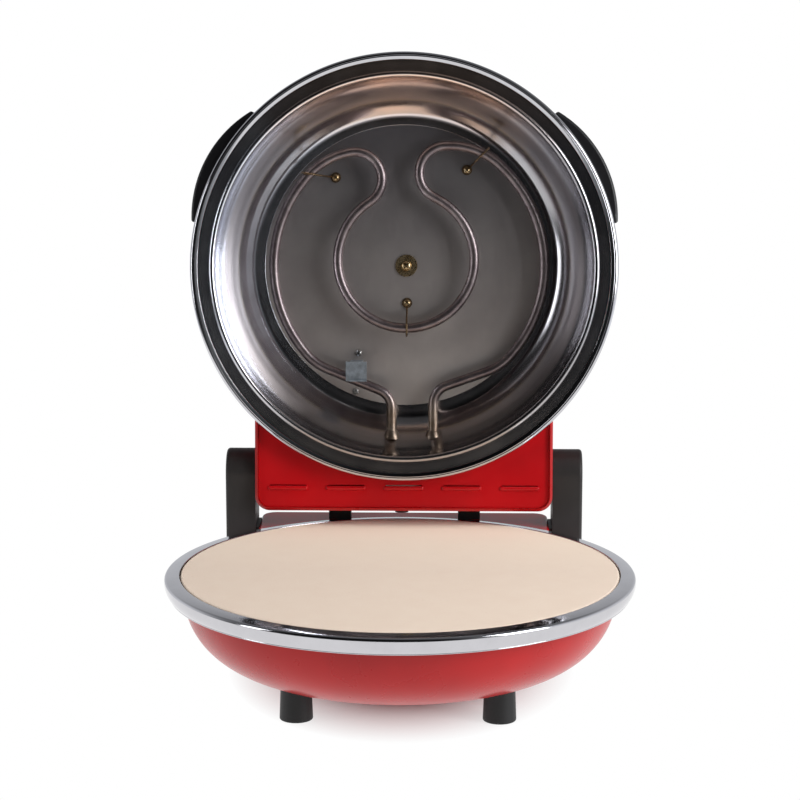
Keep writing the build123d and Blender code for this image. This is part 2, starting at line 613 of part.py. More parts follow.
def lid_rear_housing():
    gap = 0.1
    shell = box_blank(0) - block((-200, 0, BOX_BOTTOM - 3), (200, 250, BOX_BOTTOM))
    bottom_edges = [e for e in shell.edges() if e.center().Z < BOX_BOTTOM + 0.1]
    shell = chamfer([e for e in bottom_edges if e.center().Y > BOX_Y - 12], 2.0) - box_blank(WALL)
    shell -= dome_blank(gap)
    shell -= drum(0, 0, BOX_BOTTOM - 2, BAND_TOP + gap, BAND_R + 0.3)
    for side in (-1, 1):
        shell -= axle(side * (BOX_X - 4), side * (BOX_X + 4), HINGE_Y, HINGE_Z, HUB_R)
    shell -= Pos(GLAND_X, BOX_Y, HINGE_Z) * Rot(90, 0, 0) * Cylinder(5, 12)
    return max(shell.solids(), key=lambda s: s.volume)


def lid_rear_cover():
    x, y = BOX_X - WALL - 0.2, BOX_Y - WALL - 0.2
    cover = plate((-x, BOX_FRONT), (x, y), COVER_Z, COVER_Z + SKIN, COVER_CORNER)
    cover -= drum(0, 0, COVER_Z - 2, COVER_Z + 3, DOME_R + 0.3)
    for lx in LOUVRE_X:
        hood = axle(lx - LOUVRE_LONG / 2, lx + LOUVRE_LONG / 2, LOUVRE_Y, COVER_Z + 0.4, 2.1)
        hood = fillet(hood.edges().filter_by(GeomType.CIRCLE), 1.4)
        behind = block((lx - 20, LOUVRE_Y - 4, COVER_Z + SKIN), (lx + 20, LOUVRE_Y + 4, COVER_Z + 9))
        cover += hood - behind
        x0, x1 = lx - LOUVRE_LONG / 2 + 1.5, lx + LOUVRE_LONG / 2 - 1.5
        cover -= block((x0, LOUVRE_Y - 2.4, COVER_Z - 3), (x1, LOUVRE_Y - 1.6, COVER_Z + 3))
    return max(cover.solids(), key=lambda s: s.volume)


def lid_insulation():
    z = CEILING_Z + 1 + SHEET
    pad = drum(0, 0, z + 0.2, z + 8, PAD_R)
    pad -= drum(*CENTRE_AT, z - 1, z + 9, 8)
    for x, y in CLIP_SCREW_AT:
        pad -= drum(x, y, z - 1, z + 9, 4)
    return pad - block((-74, 58, z - 1), (74, 130, z + 9))


def thermostat_body():
    z = CEILING_Z + 1 + SHEET + 0.2
    case = block((-KNOB_X - 15, KNOB_Y - 13, z), (-KNOB_X + 15, KNOB_Y + 13, z + 11))
    neck = drum(-KNOB_X, KNOB_Y, z + 11, z + 17, NECK_R)
    bore = drum(-KNOB_X, KNOB_Y, z + 4, z + 20, SPINDLE_R + PIN_GAP)
    for x, y in SENSOR_SCREW_AT:
        case -= drum(x, y, z - 1, z + 6, M3_HOLE_R)
    return case + neck - bore


def timer_body():
    z = CEILING_Z + 1 + SHEET + 0.2
    case = drum(KNOB_X, KNOB_Y, z, z + 11, 19)
    neck = drum(KNOB_X, KNOB_Y, z + 11, z + 17, NECK_R)
    return case + neck - drum(KNOB_X, KNOB_Y, z + 4, z + 20, SPINDLE_R + PIN_GAP)


def control_panel():
    """Tub for the knobs that sits on the dome and the top of the rear housing."""
    y0, y1 = PANEL_Y
    solid = plate((-PANEL_X, y0), (PANEL_X, y1), 40, PANEL_TOP, PANEL_CORNER, front_too=True)
    top = solid.faces().sort_by(Axis.Z)[-1]
    solid = fillet(top.edges(), 3.5)
    low, high = (-PANEL_X + WALL, y0 + WALL), (PANEL_X - WALL, y1 - WALL)
    hollow = plate(low, high, 30, PANEL_TOP - WALL, PANEL_CORNER - WALL, front_too=True)
    shell = solid - hollow - dome_blank(0.1)
    shell -= block((-90, 100, 20), (90, 160, BOX_TOP + 0.1)) - dome_blank(0.1)
    for side in (-1, 1):
        shell -= drum(side * KNOB_X, KNOB_Y, 60, 100, 5.0)
        shell -= drum(side * LAMP_X, LAMP_Y, 60, 100, 4.05)
    return max(shell.solids(), key=lambda s: s.volume)


def pilot_lamp(side):
    lens = drum(side * LAMP_X, LAMP_Y, PANEL_TOP - 8, PANEL_TOP + 1.6, 4.0)
    return fillet(lens.edges().filter_by(GeomType.CIRCLE).sort_by(Axis.Z)[-1], 1.4)


def knob(side):
    x, z = side * KNOB_X, PANEL_TOP + 0.5
    skirt = drum(x, KNOB_Y, z, z + 3.5, KNOB_R + 1.5)
    body = Pos(x, KNOB_Y, z + 9) * Cone(KNOB_R - 2, KNOB_R - 4, 12)
    body = fillet(body.edges().filter_by(GeomType.CIRCLE).sort_by(Axis.Z)[-1], 1.8)
    skirt = fillet(skirt.edges().filter_by(GeomType.CIRCLE).sort_by(Axis.Z)[-1], 1.2)
    solid = skirt + body
    for k in range(24):
        groove = Rot(0, 0, 15 * k) * Pos(KNOB_R - 2.2, 0, z + 9.6) * Box(1.6, 1.2, 12.2)
        solid -= Pos(x, KNOB_Y, 0) * groove
    return solid - drum(x, KNOB_Y, z - 1, z + 9, SPINDLE_R)


def spindle(side):
    return drum(side * KNOB_X, KNOB_Y, CEILING_Z + SHEET + 6, PANEL_TOP + 9.5, SPINDLE_R)


def spoke(degrees, r0, r1, radius):
    """Cylinder at the grip screws' height that points outward between two radii."""
    x, y = polar((0, 0), (r0 + r1) / 2, degrees)
    return Pos(x, y, GRIP_SCREW_Z) * Rot(0, 0, degrees) * Rot(0, 90, 0) * Cylinder(radius, r1 - r0)


def side_grip(side):
    """Curved ear on the dome's side; its outer edge swells between two tapered ends."""
    a0, a1 = GRIP_SPAN
    mid = (a0 + a1) / 2
    start, middle, end = polar((0, 0), 174.2, a0), polar((0, 0), 180.6, mid), polar((0, 0), 174.2, a1)
    back0, back, back1 = polar((0, 0), 150, a0), polar((0, 0), 150, mid), polar((0, 0), 150, a1)
    edges = [ThreePointArc(start, middle, end), Line(end, back1)]
    edges += [ThreePointArc(back1, back, back0), Line(back0, start)]
    outline = make_face(edges)
    ear = extrude(Pos(0, 0, GRIP_Z[0]) * outline, GRIP_Z[1] - GRIP_Z[0])
    ear = fillet([e for e in ear.edges() if math.hypot(e.center().X, e.center().Y) > 171], 2.4)
    ear = ear - dome_blank(0.1) - drum(0, 0, 0, BAND_TOP + 0.2, BAND_R + 0.2)
    for degrees in GRIP_SCREW_DEG:
        ear -= spoke(degrees, 150, 174, 1.5)
    ear = max(ear.solids(), key=lambda s: s.volume)
    return ear if side < 0 else mirror(ear, Plane.YZ)


def grip_screws():
    screws = []
    for degrees in GRIP_SCREW_DEG:
        body = spoke(degrees, 163.0, 173.5, 1.5) + spoke(degrees, 160.6, 163.0, 3.2)
        screws += [body, mirror(body, Plane.YZ)]
    return screws


def hinge_hub(side):
    hub = axle(BOX_X - WALL - 3, BOX_X + 0.2, HINGE_Y, HINGE_Z, HUB_R - 0.05)
    hub += axle(BOX_X - 15, BOX_X - WALL - 3, HINGE_Y, HINGE_Z, 9)
    hub -= axle(BOX_X - 16, BOX_X + 1, HINGE_Y, HINGE_Z, PIN_R + PIN_GAP)
    return hub if side > 0 else mirror(hub, Plane.YZ)


def inlet_gland():
    """Cord grip in the rear wall: shank inside, collar and nose outside, and the cord's bore."""
    at_wall = Pos(GLAND_X, BOX_Y, HINGE_Z) * Rot(-90, 0, 0)
    gland = at_wall * drum(0, 0, 0, 2, 7)
    gland += at_wall * drum(0, 0, 2, 4, 5.4)
    gland += at_wall * drum(0, 0, -7, 0, 4.95)
    return gland - at_wall * drum(0, 0, -15, 15, 3.4)


def stop_face_y(z):
    """Where a stop pad's end must lie so that it sits 0.3 above the ledge when the lid is open."""
    drop = HINGE_Z - LEDGE_TOP - 0.3
    t = math.radians(OPEN_DEG)
    return HINGE_Y + (drop + (z - HINGE_Z) * math.cos(t)) / math.sin(t)


def lid_stop_pads():
    z0, z1 = STOP_Z
    side_view = Polyline((BOX_Y, z0), (stop_face_y(z0), z0), (stop_face_y(z1), z1), (BOX_Y, z1), close=True)
    profile = Plane.YZ * make_face(side_view)
    return [Pos(s * STOP_X - STOP_WIDE / 2, 0, 0) * extrude(profile, STOP_WIDE) for s in (-1, 1)]


def terminal_block():
    body = block((-30, 164, COVER_Z + SKIN + 2), (14, 180, COVER_Z + SKIN + 14))
    for k in range(4):
        body -= drum(-24 + 10.7 * k, 172, COVER_Z + 6, 40, 2.4)
    return body


def lid_wiring():
    """Insulated leads from the terminal block to the elements and the controls."""
    top = COVER_Z + SKIN + 14
    routes = [
        [(-24, 172, top), (-24, 172, 50), (-60, 160, 50), (-60, 130, 62)],
        [(-13.3, 172, top), (-13.3, 172, 36), (-12, 152, 36)],
        [(8, 172, top), (8, 172, 50), (60, 160, 50), (60, 130, 62)],
    ]
    leads = []
    for points in routes:
        path = FilletPolyline(*points, radius=4)
        leads.append(sweep(Plane(path @ 0, z_dir=path % 0) * Circle(1.3), path=path))
    return leads


# ---------------------------------------------------------------- placing and writing
def opened(shape):
    """Swing a lid part from shut to its stop."""
    return shape.rotate(Axis((0, HINGE_Y, HINGE_Z), (1, 0, 0)), -OPEN_DEG)


def place(shape, on_lid):
    """Move a part from the building frame to the oven's own frame."""
    shape = opened(shape) if on_lid else shape
    return Pos(0, -FRAME_Y, RIM_HEIGHT) * shape


BASE = {
    "pizza_stone": pizza_stone,
    "base_rim_ring": base_rim_ring,
    "base_tray": base_tray,
    "base_bowl": base_bowl,
    "base_rear_housing": base_rear_housing,
    "base_rear_cover": base_rear_cover,
    "base_insulation": base_insulation,
    "lower_element": lower_element,
    "lower_element_clips": lower_element_clips,
    "lower_clip_screws": lower_clip_screws,
    "lower_terminals": lower_terminals,
    "foot_pads": foot_pads,
    "foot_screws": foot_screws,
    "hinge_arm_left": lambda: hinge_arm(-1),
    "hinge_arm_right": lambda: hinge_arm(1),
    "arm_screws": arm_screws,
    "hinge_pins": hinge_pins,
}

LID = {
    "lid_rim_band": lid_rim_band,
    "lid_reflector": lid_reflector,
    "ceiling_plate": ceiling_plate,
    "centre_washer": centre_washer,
    "centre_screw": centre_screw,
    "centre_nut": centre_nut,
    "upper_element": upper_element,
    "upper_terminals": upper_terminals,
    "element_clips": element_clips,
    "clip_screws": clip_screws,
    "sensor_tab": sensor_tab,
    "sensor_screws": sensor_screws,
    "lid_dome": lid_dome,
    "lid_rear_housing": lid_rear_housing,
    "lid_rear_cover": lid_rear_cover,
    "lid_insulation": lid_insulation,
    "thermostat_body": thermostat_body,
    "timer_body": timer_body,
    "control_panel": control_panel,
    "pilot_lamp_red": lambda: pilot_lamp(-1),
    "pilot_lamp_green": lambda: pilot_lamp(1),
    "thermostat_knob": lambda: knob(-1),
    "thermostat_spindle": lambda: spindle(-1),
    "timer_knob": lambda: knob(1),
    "timer_spindle": lambda: spindle(1),
    "side_grip_left": lambda: side_grip(-1),
    "side_grip_right": lambda: side_grip(1),
    "grip_screws": grip_screws,
    "hinge_hub_left": lambda: hinge_hub(-1),
    "hinge_hub_right": lambda: hinge_hub(1),
    "inlet_gland": inlet_gland,
    "lid_stop_pads": lid_stop_pads,
    "terminal_block": terminal_block,
    "lid_wiring": lid_wiring,
}


def main():
    os.makedirs("parts", exist_ok=True)
    low, high = [], []
    for group, on_lid in ((BASE, False), (LID, True)):
        for name, make in group.items():
            made = make()
            pieces = made if isinstance(made, (list, tuple)) else [made]
            solids = [place(s, on_lid) for piece in pieces for s in piece.solids()]
            whole = solids[0] if len(solids) == 1 else Compound(solids)
            export_step(whole, f"parts/{name}.step")
            box = whole.bounding_box()
            low.append(box.min.Y)
            high.append(box.max.Y)
    print("depth from", round(min(low), 2), "to", round(max(high), 2))


main()
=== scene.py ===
import json
import math

import bmesh
import bpy
from mathutils import Matrix, Vector


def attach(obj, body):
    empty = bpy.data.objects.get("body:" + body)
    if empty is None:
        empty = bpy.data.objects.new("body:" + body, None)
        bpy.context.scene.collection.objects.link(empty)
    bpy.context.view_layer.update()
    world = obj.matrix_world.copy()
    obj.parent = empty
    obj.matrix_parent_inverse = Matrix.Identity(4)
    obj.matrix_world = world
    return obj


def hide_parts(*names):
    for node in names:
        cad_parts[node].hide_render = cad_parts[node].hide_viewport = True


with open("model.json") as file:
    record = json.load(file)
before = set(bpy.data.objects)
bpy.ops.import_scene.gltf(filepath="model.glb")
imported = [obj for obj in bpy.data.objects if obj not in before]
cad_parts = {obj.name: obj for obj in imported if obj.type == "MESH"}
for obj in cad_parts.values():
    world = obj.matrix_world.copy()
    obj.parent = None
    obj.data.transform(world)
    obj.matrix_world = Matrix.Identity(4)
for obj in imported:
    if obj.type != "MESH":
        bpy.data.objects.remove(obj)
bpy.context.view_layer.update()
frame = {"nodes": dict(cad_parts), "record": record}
NODES = frame["nodes"]

# Looks of the countertop pizza oven. Outlines are in millimetres in the building frame: the origin
# is the centre of the stone's top face, +Z is up, +Y is to the rear, and the lid is shut.
MM = 0.001
RIM_HEIGHT = 91.5           # stone's top face above the table
FRAME_Y = 34.55             # from the base's axis back to the middle of the whole depth
HINGE_Y, HINGE_Z = 167.9, 38.1
OPEN_DEG = 96.0
SKIN = 1.2                  # painted outer pressings
SHEET = 0.8                 # bright inner pressings

STONE_R, STONE_T = 164.5, 12.0
RING_IN_R, RING_R = 165.2, 176.7
RING_CREST = (174.9, -1.1)
BOWL_R, BOWL_FLAT_R, FLANGE_R = 162.4, 101.0, 168.0
BOWL_TOP, BOWL_BOTTOM = -14.0, -69.2
VENTS, VENT_AT = 12, 52.0   # slots in the bowl's floor, and their distance from its axis
VENT_LONG, VENT_WIDE = 26.0, 4.0

LID_RIM_Z = 2.0             # lid's rim plane above the stone when shut
BAND_R, BAND_IN_R, BAND_TOP = 171.0, 164.8, 11.0
DOME_R, DOME_FLAT_R, DOME_HEM, DOME_TOP = 169.6, 55.0, 5.2, 86.0
BEAD_R, MOUTH_R = 153.2, 151.0
REFLECTOR_C, REFLECTOR_RISE = (100.0, 2.9), 61.0
CREASE_R, CREASE_IN_R, CEILING_R = 125.5, 119.4, 114.5
CEILING_Z = 57.6
UPPER_Z = 43.6              # height of the upper element's axis
LEG_X = (-10.5, 23.4)       # its two legs
CLIP_SCREW_AT = [(-56.8, -71.7), (50.2, -78.0), (1.6, 30.5)]
SENSOR_SCREW_AT = [(-38.0, 71.6), (-40.5, 103.4)]
CENTRE_AT = (1.0, 0.0)
SHANK_R = 1.6

KNOB_X, KNOB_Y = 39.0, 87.0
PANEL_TOP = 91.0
KNOB_TOP = PANEL_TOP + 15.5
SPINDLE_HOLE_R = 7.0
DIALS = (
    ("thermostat_dial", -KNOB_X, 270, ("0", "1", "2", "3", "4", "5")),
    ("timer_dial", KNOB_X, 300, ("0", "5", "10", "15", "20")),
)

ON_BASE = Matrix.Translation((0, -FRAME_Y * MM, RIM_HEIGHT * MM))
PIVOT = Matrix.Translation((0, HINGE_Y * MM, HINGE_Z * MM))
ON_LID = ON_BASE @ PIVOT @ Matrix.Rotation(math.radians(-OPEN_DEG), 4, "X") @ PIVOT.inverted()


def srgb(r, g, b):
    """Linear colour from 8-bit display values."""
    return tuple((c / 255 / 12.92) if c <= 10 else ((c / 255 + 0.055) / 1.055) ** 2.4 for c in (r, g, b))


# ---------------------------------------------------------------- outlines
def arc(a, m, b, n):
    """Points on the circle through three points, from a to b."""
    (ax, ay), (bx, by), (cx, cy) = a, m, b
    d = 2 * (ax * (by - cy) + bx * (cy - ay) + cx * (ay - by))
    aa, bb, cc = ax * ax + ay * ay, bx * bx + by * by, cx * cx + cy * cy
    ux = (aa * (by - cy) + bb * (cy - ay) + cc * (ay - by)) / d
    uy = (aa * (cx - bx) + bb * (ax - cx) + cc * (bx - ax)) / d
    r = math.dist(a, (ux, uy))
    t0, t1, t2 = (math.atan2(y - uy, x - ux) for x, y in (a, m, b))
    turn, full = (t1 - t0) % math.tau, (t2 - t0) % math.tau
    if turn > full:
        full -= math.tau
    steps = [t0 + full * k / n for k in range(n + 1)]
    return [(ux + r * math.cos(t), uy + r * math.sin(t)) for t in steps]


def ellipse(centre, across, up, start, end, n):
    """Points on part of an upright ellipse, angles in degrees."""
    steps = [math.radians(start + (end - start) * k / n) for k in range(n + 1)]
    return [(centre[0] + across * math.cos(t), centre[1] + up * math.sin(t)) for t in steps]


def quarter(a, corner, b, n):
    """Points on the quadratic curve from a to b that turns at a corner."""
    a, corner, b = Vector(a), Vector(corner), Vector(b)
    steps = [k / n for k in range(n + 1)]
    return [tuple(a * (1 - t) ** 2 + corner * (2 * t * (1 - t)) + b * t * t) for t in steps]


def rounded(points, radii, n=5, closed=True):
    """A polygon's corners rounded by quadratic curves of about the given radii."""
    made = []
    count = len(points)
    for i, (p, r) in enumerate(zip(points, radii)):
        if r <= 0 or (not closed and i in (0, count - 1)):
            made.append(tuple(p))
            continue
        p = Vector(p)
        before, after = Vector(points[i - 1]) - p, Vector(points[(i + 1) % count]) - p
        a = p + before.normalized() * min(r, before.length * 0.49)
        b = p + after.normalized() * min(r, after.length * 0.49)
        made += quarter(a, p, b, n)
    return made


# ---------------------------------------------------------------- meshes
def new_piece(name, verts, faces, matrix, material, sharp=35):
    """A smooth-shaded mesh object with sharp edges above an angle; verts are millimetres."""
    mesh = bpy.data.meshes.new(name)
    mesh.from_pydata([tuple(matrix @ Vector([c * MM for c in v])) for v in verts], [], faces)
    fixer = bmesh.new()
    fixer.from_mesh(mesh)
    bmesh.ops.remove_doubles(fixer, verts=fixer.verts, dist=1e-7)
    bmesh.ops.recalc_face_normals(fixer, faces=fixer.faces)
    fixer.to_mesh(mesh)
    fixer.free()
    mesh.shade_smooth()
    mesh.set_sharp_from_angle(angle=math.radians(sharp))
    mesh.materials.append(material)
    piece = bpy.data.objects.new(name, mesh)
    bpy.context.scene.collection.objects.link(piece)
    return piece


def settle(piece, body, slot, *nodes):
    """Ride on a body and stand for CAD nodes; the slot argument is not used."""
    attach(piece, body)
    if nodes:
        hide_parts(*nodes)


def lathe_data(outline, segments):
    """Vertices and faces of a closed outline of (radius, height) turned about an upright axis."""
    verts, faces, count = [], [], len(outline)
    for s in range(segments):
        t = math.tau * s / segments
        verts += [(r * math.cos(t), r * math.sin(t), z) for r, z in outline]
    for s in range(segments):
        a, b = s * count, ((s + 1) % segments) * count
        for i in range(count):
            j = (i + 1) % count
            if outline[i][0] < 1e-6 and outline[j][0] < 1e-6:
                continue
            quad = [a + i, b + i, b + j, a + j]
            if outline[i][0] < 1e-6:
                quad.remove(b + i)
            if outline[j][0] < 1e-6:
                quad.remove(b + j)
            faces.append(quad)
    return verts, faces


def lathe(name, outline, matrix, material, segments=288, sharp=35):
    return new_piece(name, *lathe_data(outline, segments), matrix, material, sharp)


def about_y(x, z, data):
    """Turn lathe data from the Z axis to an axis along Y through (x, z)."""
    verts, faces = data
    return [(x + vx, vz, z + vy) for vx, vy, vz in verts], faces


def joined(parts):
    """Several (vertices, faces) lists as one."""
    verts, faces = [], []
    for v, f in parts:
        faces += [[i + len(verts) for i in face] for face in f]
        verts += v
    return verts, faces


def circle(x, y, radius, n):
    """Points (x, y) round a circle."""
    turns = [math.tau * k / n for k in range(n)]
    return [(x + radius * math.cos(t), y + radius * math.sin(t)) for t in turns]


def prism(rim, z0, z1):
    """An upright prism over a rim of (x, y) points, as (vertices, faces)."""
    n = len(rim)
    verts = [(x, y, z) for z in (z0, z1) for x, y in rim]
    walls = [[k, (k + 1) % n, n + (k + 1) % n, n + k] for k in range(n)]
    return verts, walls + [list(range(n))[::-1], list(range(n, 2 * n))]


def as_mesh(piece):
    """A new mesh of a piece with its modifiers applied."""
    bpy.context.view_layer.update()
    graph = bpy.context.evaluated_depsgraph_get()
    return bpy.data.meshes.new_from_object(piece.evaluated_get(graph))


def pierce(piece, cutter_shape, matrix):
    """Cut a shape out of a piece for good."""
    cutter = new_piece("cutter", *cutter_shape, matrix, piece.active_material)
    holes = piece.modifiers.new("holes", "BOOLEAN")
    holes.object = cutter
    holes.operation = "DIFFERENCE"
    pierced = as_mesh(piece)
    piece.modifiers.clear()
    piece.data = pierced
    bpy.data.objects.remove(cutter)


# ---------------------------------------------------------------- materials
class Finish:
    """A node material around one Principled shader. Its textures are placed in the building frame,
    in metres, as the piece lies when the lid is shut; matrix takes that frame to the scene's."""

    def __init__(self, name, matrix=ON_BASE, **sockets):
        self.material = bpy.data.materials.new(name)
        self.material.use_nodes = True
        self.tree = self.material.node_tree
        self.shader = self.tree.nodes["Principled BSDF"]
        for key, value in sockets.items():
            self.shader.inputs[key.replace("_", " ")].default_value = value
        back = matrix.inverted()
        shut = self.node("Mapping")
        shut.inputs["Rotation"].default_value = back.to_euler()
        shut.inputs["Location"].default_value = back.translation
        self.link(self.node("TexCoord").outputs["Object"], shut.inputs["Vector"])
        self.place = shut.outputs["Vector"]
        # The open lid's axis lies nearly along Y.
        self.spin_axis = "Z" if matrix is ON_BASE else "Y"

    def node(self, kind, **settings):
        made = self.tree.nodes.new("ShaderNode" + kind)
        for key, value in settings.items():
            setattr(made, key, value)
        return made

    def link(self, a, b):
        self.tree.links.new(a, b)

    def mapped(self, scale=(1, 1, 1), offset=(0, 0, 0)):
        made = self.node("Mapping")
        made.inputs["Scale"].default_value = scale
        made.inputs["Location"].default_value = offset
        self.link(self.place, made.inputs["Vector"])
        return made.outputs["Vector"]

    def noise(self, size, detail=3.0, rough=0.55, vector=None):
        """Noise with features about size millimetres across."""
        made = self.node("TexNoise")
        made.inputs["Scale"].default_value = 1 / (size * MM)
        made.inputs["Detail"].default_value = detail
        made.inputs["Roughness"].default_value = rough
        self.link(vector or self.place, made.inputs["Vector"])
        return made.outputs["Fac"]

    def ramp(self, value, stops):
        """stops are (place, colour or level)."""
        made = self.node("ValToRGB")
        while len(made.color_ramp.elements) < len(stops):
            made.color_ramp.elements.new(0.5)
        for element, (at, colour) in zip(made.color_ramp.elements, stops):
            element.position = at
            element.color = (*colour, 1) if isinstance(colour, tuple) else (colour, colour, colour, 1)
        self.link(value, made.inputs["Fac"])
        return made.outputs["Color"]

    def span(self, value, low, high, to_low=0.0, to_high=1.0):
        """value moved from one range to another and clamped."""
        made = self.node("MapRange")
        for key, v in zip(("From Min", "From Max", "To Min", "To Max"), (low, high, to_low, to_high)):
            made.inputs[key].default_value = v
        self.link(value, made.inputs["Value"])
        return made.outputs["Result"]

    def blend(self, factor, a, b):
        """Mix of two colours; a factor or colour is a socket or a value."""
        made = self.node("Mix", data_type="RGBA")
        for key, v in ((0, factor), (6, a), (7, b)):
            if isinstance(v, bpy.types.NodeSocket):
                self.link(v, made.inputs[key])
            else:
                made.inputs[key].default_value = (*v, 1) if isinstance(v, tuple) else v
        return made.outputs[2]

    def math(self, kind, a, b):
        made = self.node("Math", operation=kind)
        for key, v in ((0, a), (1, b)):
            if isinstance(v, bpy.types.NodeSocket):
                self.link(v, made.inputs[key])
            else:
                made.inputs[key].default_value = v
        return made.outputs[0]

    def axis(self, which):
        made = self.node("SeparateXYZ")
        self.link(self.place, made.inputs[0])
        return made.outputs[which]

    def radius(self):
        """Distance from the building frame's upright axis, in metres."""
        flat = self.node("VectorMath", operation="MULTIPLY")
        flat.inputs[1].default_value = (1, 1, 0)
        self.link(self.place, flat.inputs[0])
        length = self.node("VectorMath", operation="LENGTH")
        self.link(flat.outputs[0], length.inputs[0])
        return length.outputs["Value"]

    def colour(self, socket):
        self.link(socket, self.shader.inputs["Base Color"])

    def rough(self, socket):
        self.link(socket, self.shader.inputs["Roughness"])

    def bump(self, *layers):
        """layers are (height socket, depth in millimetres), finest last."""
        normal = None
        for height, depth in layers:
            made = self.node("Bump")
            made.inputs["Distance"].default_value = depth * MM
            self.link(height, made.inputs["Height"])
            if normal is not None:
                self.link(normal, made.inputs["Normal"])
            normal = made.outputs["Normal"]
        self.link(normal, self.shader.inputs["Normal"])

    def spun(self, coarse, fine):
        """Fine rings about the piece's axis, as left by spinning and polishing."""
        ring = self.node("CombineXYZ")
        self.link(self.radius(), ring.inputs["X"])
        self.link(self.axis(2), ring.inputs["Y"])
        lines = self.noise(coarse, 4, 0.7, ring.outputs[0])
        hair = self.noise(fine, 2, 0.6, ring.outputs[0])
        return lines, hair

    def tangent(self, amount):
        """Anisotropic highlights that follow the spinning about the piece's axis."""
        self.shader.inputs["Anisotropic"].default_value = amount
        made = self.node("Tangent", direction_type="RADIAL", axis=self.spin_axis)
        self.link(made.outputs["Tangent"], self.shader.inputs["Tangent"])


def stone_finish():
    f = Finish("fired_stone", Roughness=0.86, Specular_IOR_Level=0.25)
    grain, mottle, pits = f.noise(0.7, 5, 0.7), f.noise(22, 4, 0.6), f.noise(1.6, 2, 0.5)
    sand, biscuit, cream = srgb(226, 203, 182), srgb(236, 217, 199), srgb(243, 228, 213)
    tone = f.ramp(grain, [(0.30, sand), (0.52, biscuit), (0.75, cream)])
    tone = f.blend(f.span(mottle, 0.35, 0.7, 0.0, 0.35), tone, srgb(229, 206, 187))
    # Painted light: the stone is painted lighter towards the rear, where the open lid shades it.
    tone = f.blend(f.span(f.axis(1), 0.0, 0.16, 0.0, 0.7), tone, srgb(255, 238, 216))
    specks = f.ramp(pits, [(0.24, 1.0), (0.29, 0.0)])
    f.colour(f.blend(f.math("MULTIPLY", specks, 0.45), tone, srgb(176, 148, 120)))
    f.rough(f.span(grain, 0.3, 0.7, 0.78, 0.92))
    f.bump((mottle, 0.05), (pits, 0.05), (grain, 0.09))
    return f.material


def enamel_finish(name, base, rough, peel, coat=0.12, gloss=0.32):
    f = Finish(name, Coat_Weight=coat, Coat_Roughness=0.10, Coat_IOR=1.45, Specular_IOR_Level=gloss)
    depth, film = f.noise(60, 3, 0.5), f.noise(5.0, 1, 0.4)
    deep = tuple(c * 0.86 for c in srgb(*base))
    f.colour(f.blend(f.span(depth, 0.35, 0.65), deep, srgb(*base)))
    f.rough(f.span(f.noise(35, 4, 0.6), 0.35, 0.7, rough, rough + 0.07))
    f.bump((film, peel))
    return f.material


def chrome_finish(name, matrix):
    f = Finish(name, matrix, Metallic=1.0)
    lines, hair = f.spun(2.4, 0.9)
    smear = f.noise(30, 4, 0.6)
    bright = srgb(206, 205, 209)
    f.colour(f.blend(f.span(smear, 0.4, 0.7, 0, 0.5), bright, tuple(c * 0.86 for c in bright)))
    f.rough(f.span(f.blend(0.5, lines, smear), 0.35, 0.7, 0.06, 0.13))
    f.bump((f.noise(28, 2, 0.5), 0.03), (hair, 0.0008))
    f.tangent(0.3)
    return f.material


def reflector_finish():
    f = Finish("spun_reflector", ON_LID, Metallic=1.0)
    lines, hair = f.spun(4.0, 1.2)
    smear = f.noise(45, 4, 0.6)
    # Painted light and shade: the wall is painted brighter and bluish at the left and darker at the right,
    # with a painted warm reflection of the stone near the front rim (the top when the lid is open) and
    # painted shade towards the hinge (the bottom when the lid is open).
    drift = f.math("MULTIPLY", smear, 0.06)
    across = f.span(f.math("ADD", f.axis(0), drift), -0.09, 0.14)
    wear_and_painted_side_light = f.blend(across, srgb(236, 238, 246), srgb(176, 174, 178))
    painted_stone_reflection = f.blend(f.span(f.math("ADD", f.axis(1), drift), -0.125, -0.06), srgb(255, 226, 208), wear_and_painted_side_light)
    painted_shade_at_hinge = f.blend(f.span(f.axis(1), 0.05, 0.14), painted_stone_reflection, srgb(176, 170, 168))
    f.colour(f.blend(f.span(lines, 0.35, 0.7, 0.0, 0.25), painted_shade_at_hinge, srgb(210, 209, 212)))
    f.rough(f.span(f.blend(0.55, lines, smear), 0.35, 0.7, 0.14, 0.24))
    f.bump((f.noise(70, 2, 0.5), 0.06), (lines, 0.002), (hair, 0.0005))
    f.tangent(0.35)
    return f.material


def ceiling_finish():
    f = Finish("heat_dulled_steel_with_painted_shade", ON_LID, Metallic=0.85)
    hairs = f.noise(1.2, 4, 0.7, f.mapped((1, 0.05, 1)))
    cloud = f.noise(70, 4, 0.6)
    dulled = f.blend(f.span(cloud, 0.35, 0.7), srgb(184, 175, 171), srgb(200, 192, 187))
    # Painted shade: the ceiling is painted darker towards the front rim (the top when the lid is open) and
    # lighter towards the hinge.
    shade_fades_towards_hinge = f.span(f.math("ADD", f.axis(1), f.math("MULTIPLY", cloud, 0.04)), -0.10, 0.11)
    f.colour(f.blend(shade_fades_towards_hinge, srgb(112, 110, 114), dulled))
    f.rough(f.span(hairs, 0.3, 0.7, 0.36, 0.46))
    f.bump((cloud, 0.10), (hairs, 0.003))
    return f.material


def sheath_finish():
    """Heater sheath: mauve-grey oxide, going bronze where the legs turn down into the wall."""
    f = Finish("heater_sheath", ON_LID, Metallic=0.96)
    cloud, grain = f.noise(9, 4, 0.6), f.noise(1.6, 3, 0.6)
    oxide = f.blend(f.span(cloud, 0.35, 0.65), srgb(120, 108, 110), srgb(144, 133, 133))
    bronze = f.blend(f.span(cloud, 0.35, 0.65), srgb(134, 116, 101), srgb(160, 144, 130))
    f.colour(f.blend(f.span(f.axis(1), 0.102, 0.120), oxide, bronze))
    f.rough(f.span(grain, 0.3, 0.7, 0.30, 0.42))
    f.bump((cloud, 0.02), (grain, 0.006))
    return f.material


